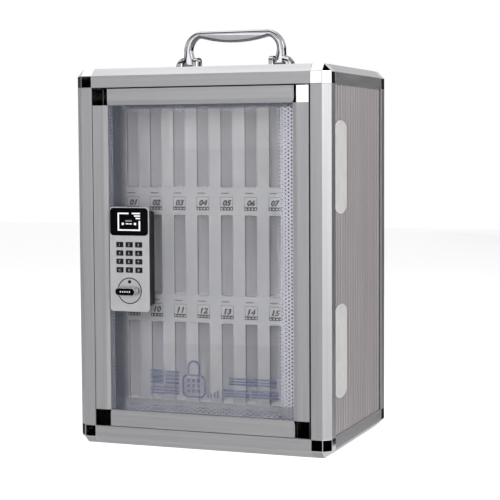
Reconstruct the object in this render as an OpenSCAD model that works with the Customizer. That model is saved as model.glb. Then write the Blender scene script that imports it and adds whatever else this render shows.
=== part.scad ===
// Lockable counter-top box for mobile phones: a bevelled aluminium edge frame with
// inset boards, a rack of numbered slots, a glazed door on two pivot pins, an
// electronic keypad lock with a thumb-turn, and a folding carrying handle.
// Origin: centre of the underside. X to the right, Y to the back, Z up. Millimetres.

/* [Case] */
// Overall width, left to right
case_w = 281; // [278:1:300]
// Overall depth, front to back
case_d = 210; // [206:1:240]
// Overall height without the handle
case_h = 397; // [394:1:410]

/* [Edge frame] */
// Side of the square edge sections
edge = 20; // [20:0.5:21]
// Leg of the bevel along every outer edge
bevel = 7.8; // [5:0.1:8]
// Wall of the hollow edge sections
edge_wall = 1.5; // [1.2:0.1:1.6]
// Thickness of the inset boards
board_t = 3; // [2.5:0.1:3]
// How far the boards lie behind the faces of the frame
board_recess = 1.6; // [1.2:0.1:1.6]
// Depth of the grooves that hold the boards
groove_d = 6; // [4:0.5:6]

/* [Door] */
// Gap along the hinge side
gap_hinge = 1.6; // [1.6:0.1:2]
// Gap along the lock side
gap_lock = 0.7; // [0.6:0.1:1.5]
// Gap above the door
gap_top = 1.4; // [0.8:0.1:2]
// Gap below the door
gap_bottom = 0.6; // [0.4:0.1:1]
// Thickness of the door frame
door_t = 14; // [14:0.5:15]
// Width of the door's stiles and rails
stile_w = 17.1; // [16.5:0.1:20]
// Flat front width of the stiles and rails, before their inner bevel
stile_flat = 12.8; // [12:0.1:13]
// Thickness of the clear pane
pane_t = 3; // [2:0.1:3]

/* [Rack] */
// Slots in one row
columns = 8; // [6:1:8]
// Distance from slot to slot
column_pitch = 27; // [25:0.5:27]
// Width of one slot
slot_w = 13; // [12:0.5:14]
// Height of one slot
slot_h = 85; // [80:1:86]
// Height from one row of slots to the next
row_pitch = 114.5; // [112:0.5:115]
// Height of the lowest row's slots above the base
slot_z = 43.4; // [42:0.1:45]
// Distance of the rack's face behind the front of the case
rack_setback = 45; // [44:1:50]

/* [Lock] */
// Width of the lock's front cover
lock_w = 44.5; // [44:0.5:46]
// Height of the lock's front cover
lock_h = 109; // [107:0.5:111]
// Distance of the cover's left edge from the middle of the case
lock_left = 97.5; // [97:0.1:98]
// Height of the cover's lower edge above the base
lock_z = 144; // [120:1:170]
// Travel of a key
key_travel = 0.9; // [0.6:0.1:0.9]

/* [Handle] */
// Half of the bail's outer width
bail_half_w = 58.2; // [58:0.1:59]
// Height of the handle's top above the case
bail_top = 43; // [42:0.5:46]
// Height of the handle's pivot above the case
bail_pivot = 7.5; // [7.4:0.1:8]

/* [Hidden] */

$fn = 64;
eps = 1;
slack = 0.1;

// frame
half_w = case_w / 2;
half_d = case_d / 2;
open_x = half_w - edge;
open_y = half_d - edge;
open_top = case_h - edge;
groove_w = board_t + 2 * slack;
groove_lo = edge - board_recess - board_t - slack;
core_hi = groove_lo - edge_wall;
outer_hi = edge - edge_wall;
groove_in = groove_d + edge_wall;
bevel_sum = 2 * edge - bevel - edge_wall * sqrt(2);
tongue = groove_d - 2 * slack;
spigot_l = 18;

// door
front_y = -half_d;
door_x0 = -open_x + gap_lock;
door_x1 = open_x - gap_hinge;
door_z0 = edge + gap_bottom;
door_z1 = open_top - gap_top;
bevel_deep = 1.4;
pane_deep = 4.1;
pane_y = front_y + pane_deep;
pane_back = pane_y + pane_t;
gasket_t = 1;
rebate_lo = pane_deep - slack;
rebate_hi = pane_deep + pane_t + gasket_t + slack;
rebate_w = 3.6;
rebate_u = stile_w - rebate_w;
pane_in = 3.3;
door_wall = 1.4;
door_spigot_l = 15;
pivot_inset = 3.1;
pivot_setback = 3.2;
pivot_x = door_x1 - pivot_inset;
pivot_y = front_y + pivot_setback;
pivot_r = 1.25;
pivot_play = 0.05;
pivot_bite = 12;
pivot_reach = 7;

// rack
rack_front = front_y + rack_setback;
face_t = 3;
sheet_t = 2;
rack_play = 0.5;
rack_back = half_d - board_recess - board_t - rack_play;
rack_half_w = open_x - rack_play;
rack_z0 = edge + rack_play;
rack_z1 = open_top - 2 * rack_play;
web_y = rack_front + face_t;
side_in = rack_half_w - sheet_t;

// lock
cover_t = 2;
lock_base_t = 10;
lock_x = -lock_left + lock_w / 2;
cover_front = pane_y - lock_base_t - cover_t;
cover_back = cover_front + cover_t;
base_inset_x = 1.2;
base_inset_z = 5;
cover_r = 3.6;
window_w = 43.4;
window_h = 28.8;
window_drop = 1;
window_r = 4;
window_sink = 0.8;
window_proud = 0.4;
key_w = 7.6;
key_h = 5.2;
key_pitch_x = 10.8;
key_pitch_z = 8.8;
key_top = 39.3;
key_proud = 0.9;
key_lip = 0.7;
key_lip_t = 1.4;
key_gap = 0.2;
key_x0 = lock_x - key_pitch_x;
turn_x = lock_x;
turn_z = lock_z + 21.6;
base_wall = 2;
hole_play = 0.3;
board_play = 0.5;
wafer_t = 1.2;
spindle_r = 3;
spindle_play = 0.05;
knob_l = 24;
knob_w = 9.6;
knob_proud = 11.8;
grip_l = 22.6;
grip_w = 8;
grip_t = 5.4;
collar_r = 4.4;
collar_t = 1.2;
lamp_z = turn_z + 9.4;
lamp_r = 1.8;
lamp_proud = 0.3;
pocket_z = 39;
rear_t = 11.5;
rear_y = pane_back + rear_t;
rear_wall = 1.5;
rear_inset = 5;
rear_w = 34.6;
rear_z0 = lock_z + rear_inset;
rear_z1 = lock_z + lock_h - rear_inset;
rear_r = 3;
inner_r = 2;
bay_z = 34;
bay_in = 1;
lid_t = 1.3;
lid_lap = 1.5;
cell_r = 5.2;
cell_l = 44.5;
cell_pitch = 12;
cell_back = 5.7;
cell_drop = 9.5;
screw_r = 1.5;
screw_lead = 3;
screw_head_r = 2.8;
screw_head_t = 1.6;
screw_dx = 12.2;
screw_dz = 12.6;
cam_t = 2;
cam_w = 12;
cam_l = 53;
cam_hub_r = 8;
cam_hub_play = 0.2;
cam_y = -open_y + 0.5;
spindle_tip = 0.5;

// handle
board_top = case_h - board_recess;
pivot_z = case_h + bail_pivot;
foot_in = 41;
foot_out = 67.4;
foot_half_d = 8;
foot_top = case_h + 14.6;
foot_round = 12;
foot_slot_in = 46.6;
foot_slot_out = bail_half_w + 0.3;
foot_floor = 4;
screw_in_from_edge = 2.8;
screw_out_from_edge = 5.5;
screw_bite = 5;
handle_pin_r = 2;
handle_screw_r = 1.6;
handle_play = 0.05;
pin_short = 4;
eye_r = 4.8;
arm_w = 8.7;
bar_t = 6.2;
bail_r = 21;
belly = 6.6;
belly_half = 43;
flare_top = 14;
flare_low = 4.5;
flare_play = 0.4;

// ---- edge frame -------------------------------------------------------------

// Section of an edge member. The outer corner of the case is at (edge, edge). One board
// groove opens in the inner face at x = 0; a twin section has a second one at y = 0.
module edge_section(twin) {
    difference() {
        polygon([[0, 0], [edge, 0], [edge, edge - bevel], [edge - bevel, edge], [0, edge]]);
        if (twin)
            polygon([
                [edge_wall, edge_wall], [core_hi, edge_wall], [core_hi, groove_in],
                [outer_hi, groove_in], [outer_hi, bevel_sum - outer_hi],
                [bevel_sum - outer_hi, outer_hi], [groove_in, outer_hi],
                [groove_in, core_hi], [edge_wall, core_hi]
            ]);
        else
            polygon([
                [edge_wall, edge_wall], [outer_hi, edge_wall],
                [outer_hi, bevel_sum - outer_hi], [bevel_sum - outer_hi, outer_hi],
                [groove_in, outer_hi], [groove_in, core_hi], [edge_wall, core_hi]
            ]);
        translate([-eps, groove_lo]) square([groove_d + eps, groove_w]);
        if (twin)
            translate([groove_lo, -eps]) square([groove_w, groove_d + eps]);
    }
}

// Upright at the front right corner; the other three are its mirror images
module upright(twin) {
    translate([open_x, -open_y, edge])
        rotate([0, 0, -90])
            linear_extrude(open_top - edge)
                edge_section(twin);
}

// Member along the top front edge
module cross_rail(twin) {
    translate([open_x, -open_y, open_top])
        rotate([90, 0, -90])
            linear_extrude(2 * open_x)
                edge_section(twin);
}

// Member along the top right edge
module side_rail() {
    translate([open_x, open_y, open_top])
        rotate([90, 0, 0])
            linear_extrude(2 * open_y)
                edge_section(true);
}

// Turns a shape of the upper half into the same shape of the lower half
module at_bottom() {
    translate([0, 0, case_h])
        mirror([0, 0, 1])
            children();
}

// Two copies, left and right
module both_sides() {
    children();
    mirror([1, 0, 0]) children();
}

module front_post_left() {
    color("#B2B2B4")
        mirror([1, 0, 0])
            upright(false);
}

module front_post_right() {
    color("#B2B2B4")
        upright(false);
}

module rear_posts() {
    color("#B2B2B4")
        both_sides()
            mirror([0, 1, 0])
                upright(true);
}

module pivot_hole() {
    translate([pivot_x, pivot_y, -eps])
        cylinder(r = pivot_r + pivot_play, h = case_h + 2 * eps);
}

module front_rail_bottom() {
    color("#B2B2B4")
        difference() {
            at_bottom() cross_rail(false);
            translate([0, 0, edge - edge_wall]) pivot_hole();
        }
}

module front_rail_top() {
    color("#B2B2B4")
        difference() {
            cross_rail(false);
            translate([0, 0, open_top + edge_wall - case_h]) pivot_hole();
        }
}

module rear_rail_bottom() {
    color("#B2B2B4")
        mirror([0, 1, 0])
            at_bottom() cross_rail(true);
}

module rear_rail_top() {
    color("#B2B2B4")
        mirror([0, 1, 0])
            cross_rail(true);
}

module side_rails_bottom() {
    color("#8C8C90")
        both_sides()
            at_bottom() side_rail();
}

module side_rails_top() {
    color("#8C8C90")
        both_sides()
            side_rail();
}

// Cut along the outer edges of a corner block, and across its outer vertex
module corner_bevels() {
    across = bevel * sqrt(2);
    vertex_at = (3 * edge - 2 * bevel) / sqrt(3);
    translate([edge, edge, edge / 2])
        rotate([0, 0, 45])
            cube([across, 3 * bevel, 2 * edge], center = true);
    translate([edge / 2, edge, edge])
        rotate([45, 0, 0])
            cube([2 * edge, across, 3 * bevel], center = true);
    translate([edge, edge / 2, edge])
        rotate([0, -45, 0])
            cube([across, 2 * edge, 3 * bevel], center = true);
    rotate([0, acos(1 / sqrt(3)), 45])
        translate([-edge, -edge, vertex_at])
            cube([2 * edge, 2 * edge, edge]);
}

// Chromed three-way corner with a square spigot into each of the three members
module corner_connector() {
    lo = edge_wall + slack;
    side = core_hi - slack - lo;
    difference() {
        cube(edge);
        corner_bevels();
    }
    translate([-spigot_l, lo, lo]) cube([spigot_l + eps, side, side]);
    translate([lo, -spigot_l, lo]) cube([side, spigot_l + eps, side]);
    translate([lo, lo, -spigot_l]) cube([side, side, spigot_l + eps]);
}

module corner_connectors() {
    color("#E4E4E6")
        both_sides()
            for (back = [0, 1])
                mirror([0, 1 - back, 0])
                    for (low = [0, 1])
                        translate([open_x, open_y, low ? edge : open_top])
                            mirror([0, 0, low])
                                corner_connector();
}

// ---- boards -----------------------------------------------------------------

// Outline of a board that fills an opening w by h, reaches a tongue into the frame on
// all four sides, and has its corners notched out round the corner blocks
module notched(w, h, reach) {
    square([w + 2 * reach, h - 2 * slack], center = true);
    square([w - 2 * slack, h + 2 * reach], center = true);
}

module side_panel_right() {
    color("#A49EA0")
        translate([half_w - board_recess - board_t, 0, case_h / 2])
            rotate([90, 0, 90])
                linear_extrude(board_t)
                    notched(2 * open_y, case_h - 2 * edge, tongue);
}

module side_panel_left() {
    color("#A49EA0")
        mirror([1, 0, 0])
            side_panel_right();
}

module back_panel() {
    color("#A49EA0")
        translate([0, half_d - board_recess, case_h / 2])
            rotate([90, 0, 0])
                linear_extrude(board_t)
                    notched(2 * open_x, case_h - 2 * edge, tongue);
}

// Places of the screws that hold the feet of the handle
module at_handle_screws() {
    both_sides()
        for (x = [foot_in + screw_in_from_edge, foot_out - screw_out_from_edge])
            translate([x, 0, 0])
                children();
}

module top_panel() {
    color("#A8A4A6")
        difference() {
            translate([0, 0, board_top - board_t])
                linear_extrude(board_t)
                    notched(2 * open_x, 2 * open_y, tongue);
            at_handle_screws()
                translate([0, 0, board_top - board_t - eps])
                    cylinder(r = handle_screw_r + 2 * slack, h = board_t + 2 * eps);
        }
}

// The base board lies flush with the frame's underside, with its tongue in the grooves
module base_board() {
    color("#8E8E92") {
        translate([0, 0, board_recess])
            linear_extrude(board_t)
                notched(2 * open_x, 2 * open_y, tongue);
        translate([0, 0, board_recess / 2 + slack])
            cube([2 * open_x - 2 * slack, 2 * open_y - 2 * slack, board_recess + 2 * slack],
                center = true);
    }
}

// Two plain cover plates on the right side, with shallow arched ends
module side_cover_plates() {
    plate_w = 39.4;
    plate_t = 1.4;
    from_post = 0.6;
    plate_y = -open_y + from_post + plate_w / 2;
    arch = 6;
    arch_r = (pow(plate_w / 2, 2) + arch * arch) / (2 * arch);
    lower_plate = [57, 154];
    upper_plate = [246, 341];
    color("#C8C7C6")
        for (span = [lower_plate, upper_plate])
            translate([half_w - board_recess, plate_y, span[0]])
                rotate([90, 0, 90])
                    linear_extrude(plate_t) {
                        translate([-plate_w / 2, arch])
                            square([plate_w, span[1] - span[0] - 2 * arch]);
                        for (end = [0, 1])
                            translate([0, end * (span[1] - span[0])])
                                mirror([0, end])
                                    intersection() {
                                        translate([0, arch_r])
                                            circle(r = arch_r, $fn = 180);
                                        translate([-plate_w / 2, 0])
                                            square([plate_w, arch + eps]);
                                    }
                    }
}

// ---- door bearings and stops ---------------------------------------------------

// Bearing block inside the hollow of a front member, under a pivot pin
module hinge_block() {
    long = 11;
    deep = 4.2;
    tall = 7.4;
    from_corner = 1.5;
    block_x = open_x - from_corner - long;
    difference() {
        translate([block_x, front_y + edge_wall + slack, open_top + edge_wall + slack])
            cube([long, deep, tall]);
        translate([pivot_x, pivot_y, open_top])
            cylinder(r = pivot_r + pivot_play, h = pivot_reach + eps);
    }
}

module hinge_blocks() {
    color("#E6E2D8") {
        hinge_block();
        at_bottom() hinge_block();
    }
}

module door_stop_strips() {
    strip_w = 3;
    strip_t = 2.5;
    behind_door = 0.4;
    end_gap = 4;
    hinge_gap = 19.5;
    strip_y = front_y + door_t + behind_door;
    cross_x = -open_x + strip_w + rack_play;
    cross_l = open_x - hinge_gap - cross_x;
    color("#232325") {
        translate([-open_x, strip_y, edge + end_gap])
            cube([strip_w, strip_t, open_top - edge - 2 * end_gap]);
        translate([cross_x, strip_y, edge])
            cube([cross_l, strip_t, strip_w]);
        translate([cross_x, strip_y, open_top - strip_w])
            cube([cross_l, strip_t, strip_w]);
    }
}

// ---- rack -----------------------------------------------------------------------

// Height of the foot of a row's slots, counted from row 1 at the top
function row_z(row) = slot_z + (3 - row) * row_pitch;

// Top of the room behind a row's slots
function row_top(row) = row == 1 ? rack_z1 - sheet_t : row_z(row - 1) - sheet_t;

// Side sheets of the rack, stepped round the rear bottom member, standing on the base
module rack_sides() {
    foot_z = board_recess + board_t + slack;
    step_y = open_y - rack_play;
    color("#C2C2C6")
        both_sides()
            translate([side_in, 0, 0])
                rotate([90, 0, 90])
                    linear_extrude(sheet_t)
                        polygon([
                            [web_y, foot_z], [step_y, foot_z], [step_y, rack_z0],
                            [rack_back, rack_z0], [rack_back, rack_z1], [web_y, rack_z1]
                        ]);
}

module rack_shelves() {
    levels = [row_z(3) - sheet_t, row_z(2) - sheet_t, row_z(1) - sheet_t, rack_z1 - sheet_t];
    color("#C2C2C6")
        for (z = levels)
            translate([-side_in, web_y, z])
                cube([2 * side_in, rack_back - web_y, sheet_t]);
}

// Front bands above, between and below the rows of slots
module rack_bands() {
    bands = [
        [rack_z0, row_z(3)],
        [row_z(3) + slot_h, row_z(2)],
        [row_z(2) + slot_h, row_z(1)],
        [row_z(1) + slot_h, rack_z1]
    ];
    color("#C8C8CB")
        for (band = bands)
            translate([-rack_half_w, rack_front, band[0]])
                cube([2 * rack_half_w, face_t, band[1] - band[0]]);
}

// Upright dividers between the slots of one row: a front strip with a web behind it.
// The two end strips reach out to the sides of the rack.
module dividers(row) {
    strip_w = column_pitch - slot_w;
    outer = rack_half_w;
    for (i = [0 : columns]) {
        x = (i - columns / 2) * column_pitch;
        left = i == 0 ? -outer : x - strip_w / 2;
        right = i == columns ? outer : x + strip_w / 2;
        translate([left, rack_front, row_z(row)])
            cube([right - left, face_t, slot_h]);
        translate([x - sheet_t / 2, web_y - slack, row_z(row)])
            cube([sheet_t, rack_back - web_y + slack, slot_h]);
        translate([x - sheet_t / 2, web_y, row_z(row)])
            cube([sheet_t, rack_back - web_y, row_top(row) - row_z(row)]);
    }
}

module dividers_row_1() {
    color("#CBCBCE") dividers(1);
}

module dividers_row_2() {
    color("#CBCBCE") dividers(2);
}

module dividers_row_3() {
    color("#CBCBCE") dividers(3);
}

// ---- carrying handle -------------------------------------------------------------

// Chromed foot with a slot for the bail, rounded on its outer side
module handle_foot() {
    foot_h = foot_top - board_top;
    color("#DCDCE0")
        difference() {
            translate([0, foot_half_d, board_top])
                rotate([90, 0, 0])
                    linear_extrude(2 * foot_half_d) {
                        translate([foot_in, 0])
                            square([foot_out - foot_round - foot_in, foot_h]);
                        translate([foot_out - foot_round - eps, 0])
                            square([foot_round + eps, foot_h - foot_round]);
                        intersection() {
                            translate([foot_out - foot_round, foot_h - foot_round])
                                circle(r = foot_round);
                            square([foot_out, foot_h]);
                        }
                    }
            translate([foot_slot_in, -foot_half_d - eps, board_top + foot_floor])
                cube([foot_slot_out - foot_slot_in, 2 * foot_half_d + 2 * eps, foot_h]);
            handle_pin();
            at_handle_screws() handle_screw_shank();
        }
}

module handle_foot_right() {
    handle_foot();
}

module handle_foot_left() {
    mirror([1, 0, 0]) handle_foot();
}

module handle_pin() {
    translate([foot_in, 0, pivot_z])
        rotate([0, 90, 0])
            cylinder(r = handle_pin_r, h = foot_out - foot_in - pin_short);
}

module handle_pins() {
    color("#C8C8CC")
        both_sides() handle_pin();
}

module handle_screw_shank() {
    translate([0, 0, board_top - board_t])
        cylinder(r = handle_screw_r, h = board_t + screw_bite);
}

module handle_screws() {
    head_r = 3.2;
    head_t = 2.4;
    color("#B8B8BC")
        at_handle_screws() {
            handle_screw_shank();
            translate([0, 0, board_top - board_t - head_t])
                cylinder(r = head_r, h = head_t);
        }
}

// Front outline of the bail: a flat-topped arch with a swelling under the middle of
// the bar and arms that widen inwards towards their eyes
module bail_outline() {
    top = bail_top - bail_pivot;
    inner_half = bail_half_w - arm_w;
    inner_top = top - bar_t;
    belly_r = (belly_half * belly_half + belly * belly) / (2 * belly);
    flare_in = foot_slot_in + flare_play;
    difference() {
        arch_outline(bail_half_w, top, bail_r);
        difference() {
            arch_outline(inner_half, inner_top, bail_r - bar_t);
            intersection() {
                translate([0, inner_top - belly + belly_r])
                    circle(r = belly_r, $fn = 240);
                translate([-belly_half, inner_top - belly - eps])
                    square([2 * belly_half, belly + 2 * eps]);
            }
            for (side = [-1, 1])
                polygon([
                    [side * bail_half_w, flare_top], [side * inner_half, flare_top],
                    [side * flare_in, flare_low], [side * flare_in, -eye_r],
                    [side * bail_half_w, -eye_r]
                ]);
        }
    }
}

// Arch standing on y = -eye_r, with round shoulders
module arch_outline(half, top, r) {
    translate([-half, -eye_r]) square([2 * half, top + eye_r - r]);
    translate([-half + r, -eye_r]) square([2 * (half - r), top + eye_r]);
    for (side = [-1, 1])
        translate([side * (half - r), top - r])
            circle(r = r);
}

module handle_bail() {
    color("#DADADE")
        difference() {
            translate([0, eye_r, pivot_z])
                rotate([90, 0, 0])
                    linear_extrude(2 * eye_r)
                        bail_outline();
            // the ends are rounded about the pivot
            difference() {
                translate([-bail_half_w - eps, -2 * eye_r, pivot_z - 2 * eye_r])
                    cube([2 * bail_half_w + 2 * eps, 4 * eye_r, 2 * eye_r]);
                translate([-bail_half_w - 2 * eps, 0, pivot_z])
                    rotate([0, 90, 0])
                        cylinder(r = eye_r, h = 2 * bail_half_w + 4 * eps);
            }
            translate([-foot_out, 0, pivot_z])
                rotate([0, 90, 0])
                    cylinder(r = handle_pin_r + handle_play, h = 2 * foot_out);
        }
}

// ---- door frame --------------------------------------------------------------------

// Section of a stile or rail: x runs inwards from the outer edge, y back from the front
module stile_outline() {
    polygon([
        [0, 0], [stile_flat, 0], [stile_w, bevel_deep], [stile_w, door_t], [0, door_t]
    ]);
}

module stile_section() {
    rib = rebate_u - door_wall;
    difference() {
        stile_outline();
        polygon([
            [door_wall, door_wall], [rib, door_wall], [rib, rebate_hi + door_wall],
            [stile_w - door_wall, rebate_hi + door_wall],
            [stile_w - door_wall, door_t - door_wall], [door_wall, door_t - door_wall]
        ]);
        translate([rebate_u, rebate_lo])
            square([stile_w, rebate_hi - rebate_lo]);
    }
}

module door_stile_left() {
    color("#ACACAE")
        translate([door_x0, front_y, door_z0 + stile_w])
            linear_extrude(door_z1 - door_z0 - 2 * stile_w)
                stile_section();
}

module door_stile_right() {
    color("#ACACAE")
        translate([door_x1, front_y, door_z0 + stile_w])
            mirror([1, 0, 0])
                linear_extrude(door_z1 - door_z0 - 2 * stile_w)
                    stile_section();
}

module door_rail_bottom() {
    color("#ACACAE")
        translate([door_x1 - stile_w, front_y, door_z0])
            rotate([0, -90, 0])
                linear_extrude(door_x1 - door_x0 - 2 * stile_w)
                    stile_section();
}

module door_rail_top() {
    color("#ACACAE")
        translate([0, 0, door_z0 + door_z1])
            mirror([0, 0, 1])
                translate([door_x1 - stile_w, front_y, door_z0])
                    rotate([0, -90, 0])
                        linear_extrude(door_x1 - door_x0 - 2 * stile_w)
                            stile_section();
}

// Corner block of the door at the lower left: the stile's outline carried on to the end
// of the door, with a spigot into each of the two members
module door_corner() {
    lo = door_wall + slack;
    side = rebate_u - door_wall - slack - lo;
    deep = door_t - 2 * lo;
    reach = door_spigot_l + eps;
    linear_extrude(stile_w) stile_outline();
    translate([lo, lo, stile_w - eps]) cube([side, deep, reach]);
    translate([stile_w - eps, lo, lo]) cube([reach, deep, side]);
}

module door_corners() {
    color("#DCDCE0")
        difference() {
            for (right = [0, 1])
                for (high = [0, 1])
                    translate([right ? door_x1 : door_x0, front_y, high ? door_z1 : door_z0])
                        mirror([right, 0, 0])
                            mirror([0, 0, high])
                                door_corner();
            hinge_pins();
        }
}

module hinge_pins() {
    color("#B0B0B4") {
        translate([pivot_x, pivot_y, edge - pivot_reach])
            cylinder(r = pivot_r, h = gap_bottom + pivot_reach + pivot_bite);
        translate([pivot_x, pivot_y, door_z1 - pivot_bite])
            cylinder(r = pivot_r, h = gap_top + pivot_reach + pivot_bite);
    }
}

// Outline of the pane in its rebate, seen from the front
module pane_outline() {
    translate([(door_x0 + door_x1) / 2, (door_z0 + door_z1) / 2])
        notched(door_x1 - door_x0 - 2 * stile_w, door_z1 - door_z0 - 2 * stile_w, pane_in);
}

// Places of the four screws that clamp the lock through the pane
module at_lock_screws() {
    for (x = [-screw_dx, screw_dx])
        for (z = [-screw_dz, screw_dz])
            translate([turn_x + x, 0, turn_z + z])
                children();
}

// Round hole or shaft along Y from y0 to y1
module bar_y(r, y0, y1) {
    translate([0, y1, 0])
        rotate([90, 0, 0])
            cylinder(r = r, h = y1 - y0);
}

module door_pane() {
    color([0.82, 0.86, 0.92, 0.35])
        difference() {
            translate([0, pane_back, 0])
                rotate([90, 0, 0])
                    linear_extrude(pane_t)
                        pane_outline();
            translate([turn_x, 0, turn_z])
                bar_y(spindle_r + 2 * hole_play, pane_y - eps, pane_back + eps);
            at_lock_screws()
                bar_y(screw_r + 2 * slack, pane_y - eps, pane_back + eps);
        }
}

module pane_gasket() {
    ring_w = pane_in - slack;
    color("#2A2A2C")
        translate([0, pane_back + gasket_t, 0])
            rotate([90, 0, 0])
                linear_extrude(gasket_t)
                    difference() {
                        pane_outline();
                        translate([(door_x0 + door_x1) / 2, (door_z0 + door_z1) / 2])
                            square([
                                door_x1 - door_x0 - 2 * stile_w + 2 * pane_in - 2 * ring_w,
                                door_z1 - door_z0 - 2 * stile_w + 2 * pane_in - 2 * ring_w
                            ], center = true);
                    }
}

// ---- lock ---------------------------------------------------------------------------

// Rectangle with round corners, its lower left corner at the origin
module rounded(w, h, r) {
    translate([r, 0]) square([w - 2 * r, h]);
    translate([0, r]) square([w, h - 2 * r]);
    for (x = [r, w - r])
        for (y = [r, h - r])
            translate([x, y]) circle(r = r);
}

// Plate facing the front, from y0 to y1, its lower left corner at x, z
module plate_y(x, z, w, h, r, y0, y1) {
    translate([x, y1, z])
        rotate([90, 0, 0])
            linear_extrude(y1 - y0)
                rounded(w, h, r);
}

// Places of the keys, counted from the upper left
module at_key(i) {
    translate([
        key_x0 + (i % 3) * key_pitch_x,
        0,
        lock_z + lock_h - key_top - floor(i / 3) * key_pitch_z
    ])
        children();
}

module lock_base() {
    w = lock_w - 2 * base_inset_x;
    h = lock_h - 2 * base_inset_z;
    color("#141416")
        difference() {
            plate_y(lock_x - w / 2, lock_z + base_inset_z, w, h, cover_r, cover_back, pane_y);
            plate_y(lock_x - w / 2 + base_wall, lock_z + pocket_z, w - 2 * base_wall,
                h + base_inset_z - pocket_z - base_wall, inner_r, cover_back - eps, pane_y - base_wall);
            translate([turn_x, 0, turn_z])
                bar_y(spindle_r + spindle_play, cover_back - eps, pane_y + eps);
            at_lock_screws()
                bar_y(screw_r, cover_back + screw_lead, pane_y + eps);
        }
}

module lock_cover() {
    hole_x = key_w / 2 + key_gap;
    hole_z = key_h / 2 + key_gap;
    color("#C4C4C6")
        difference() {
            plate_y(-lock_left, lock_z, lock_w, lock_h, cover_r, cover_front, cover_back);
            display_recess();
            for (i = [0 : 11])
                at_key(i)
                    translate([-hole_x, cover_front - eps, -hole_z])
                        cube([2 * hole_x, cover_t + 2 * eps, 2 * hole_z]);
            translate([turn_x, 0, turn_z])
                bar_y(spindle_r + hole_play, cover_front - eps, cover_back + eps);
            translate([turn_x, 0, lamp_z])
                bar_y(lamp_r, cover_front - eps, cover_back + eps);
        }
}

// Space of the display window, open to the front
module display_recess() {
    plate_y(lock_x - window_w / 2, lock_z + lock_h - window_drop - window_h,
        window_w, window_h, window_r, cover_front - eps, cover_front + window_sink);
}

module display_window() {
    color("#060608")
        plate_y(lock_x - window_w / 2, lock_z + lock_h - window_drop - window_h,
            window_w, window_h, window_r, cover_front - window_proud, cover_front + window_sink);
}

module status_lamp() {
    color("#5A0A18")
        translate([turn_x, 0, lamp_z])
            bar_y(lamp_r, cover_front - lamp_proud, cover_back);
}

module circuit_board() {
    board_y = cover_back + key_gap / 2 + key_lip_t + key_travel + 2 * key_gap;
    w = lock_w - 2 * (base_inset_x + base_wall + board_play);
    h = lock_h - base_inset_z - pocket_z - base_wall - 2 * board_play;
    color("#1E5A34")
        plate_y(lock_x - w / 2, lock_z + pocket_z + board_play, w, h, inner_r,
            board_y, board_y + wafer_t);
}

// Keys: a cap through the cover, with a lip behind it that holds it in
module key(i) {
    color("#101012")
        at_key(i) {
            translate([-key_w / 2, cover_front - key_proud, -key_h / 2])
                cube([key_w, cover_t + key_proud + key_gap, key_h]);
            translate([-key_w / 2 - key_lip, cover_back + key_gap / 2, -key_h / 2 - key_lip])
                cube([key_w + 2 * key_lip, key_lip_t, key_h + 2 * key_lip]);
        }
}

module battery_housing() {
    x = lock_x - rear_w / 2;
    h = rear_z1 - rear_z0;
    bay_w = rear_w - 2 * (rear_wall + bay_in);
    bay_h = h - bay_z - rear_wall - 2 * bay_in;
    boss_r = 3;
    post_wall = 1.2;
    color("#1A1A1C")
        difference() {
            union() {
                difference() {
                    plate_y(x, rear_z0, rear_w, h, rear_r, pane_back, rear_y);
                    plate_y(x + rear_wall, rear_z0 + rear_wall, rear_w - 2 * rear_wall,
                        h - 2 * rear_wall, inner_r, pane_back - eps, rear_y - rear_wall);
                }
                translate([turn_x, 0, turn_z])
                    bar_y(spindle_r + boss_r, pane_back, rear_y);
                at_lock_screws()
                    bar_y(screw_head_r + post_wall, pane_back, rear_y);
            }
            translate([turn_x, 0, turn_z])
                bar_y(spindle_r + spindle_play, pane_back - eps, rear_y + eps);
            at_lock_screws() {
                bar_y(screw_r, pane_back - eps, rear_y);
                bar_y(screw_head_r, rear_y - screw_head_t, rear_y + eps);
            }
            plate_y(lock_x - bay_w / 2, rear_z0 + bay_z, bay_w, bay_h, inner_r,
                rear_y - rear_wall - eps, rear_y + eps);
        }
}

module battery_cover() {
    w = rear_w - 2 * lid_lap;
    low = rear_z0 + bay_z - lid_lap;
    color("#222224")
        plate_y(lock_x - w / 2, low, w, rear_z1 - bay_in - low, inner_r, rear_y, rear_y + lid_t);
}

module battery_cells() {
    color("#8A7A3A")
        for (i = [-1, 1])
            translate([lock_x + i * cell_pitch / 2, pane_back + cell_back, rear_z1 - cell_drop - cell_l])
                cylinder(r = cell_r, h = cell_l);
}

module lock_screws() {
    color("#A8A8AC")
        at_lock_screws() {
            bar_y(screw_r, cover_back + screw_lead, rear_y);
            bar_y(screw_head_r, rear_y - screw_head_t, rear_y);
        }
}

// Thumb-turn: a bar with round ends and a narrower grip in front, on a collar, and the
// spindle behind it
module thumb_turn() {
    color("#BDBDC0") {
        plate_y(turn_x - grip_l / 2, turn_z - grip_w / 2, grip_l, grip_w, grip_w / 2 - slack,
            cover_front - knob_proud, cover_front - knob_proud + grip_t);
        plate_y(turn_x - knob_l / 2, turn_z - knob_w / 2, knob_l, knob_w, knob_w / 2 - slack,
            cover_front - knob_proud + grip_t, cover_front - collar_t);
        translate([turn_x, 0, turn_z]) {
            bar_y(collar_r, cover_front - collar_t, cover_front - slack);
            bar_y(spindle_r, cover_front - collar_t, cam_y + cam_t + spindle_tip);
        }
    }
}

// Cam on the end of the spindle. It stands up behind the battery housing when the lock is
// open, and swings out behind the left front post to lock the door.
module cam() {
    color("#B4B4B8")
        difference() {
            union() {
                translate([turn_x, 0, turn_z])
                    bar_y(cam_hub_r, rear_y + cam_hub_play, cam_y + cam_t);
                plate_y(turn_x - cam_w / 2, turn_z, cam_w, cam_l, rear_r, cam_y, cam_y + cam_t);
            }
            translate([turn_x, 0, turn_z])
                bar_y(spindle_r, rear_y - eps, cam_y + cam_t + eps);
        }
}

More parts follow.
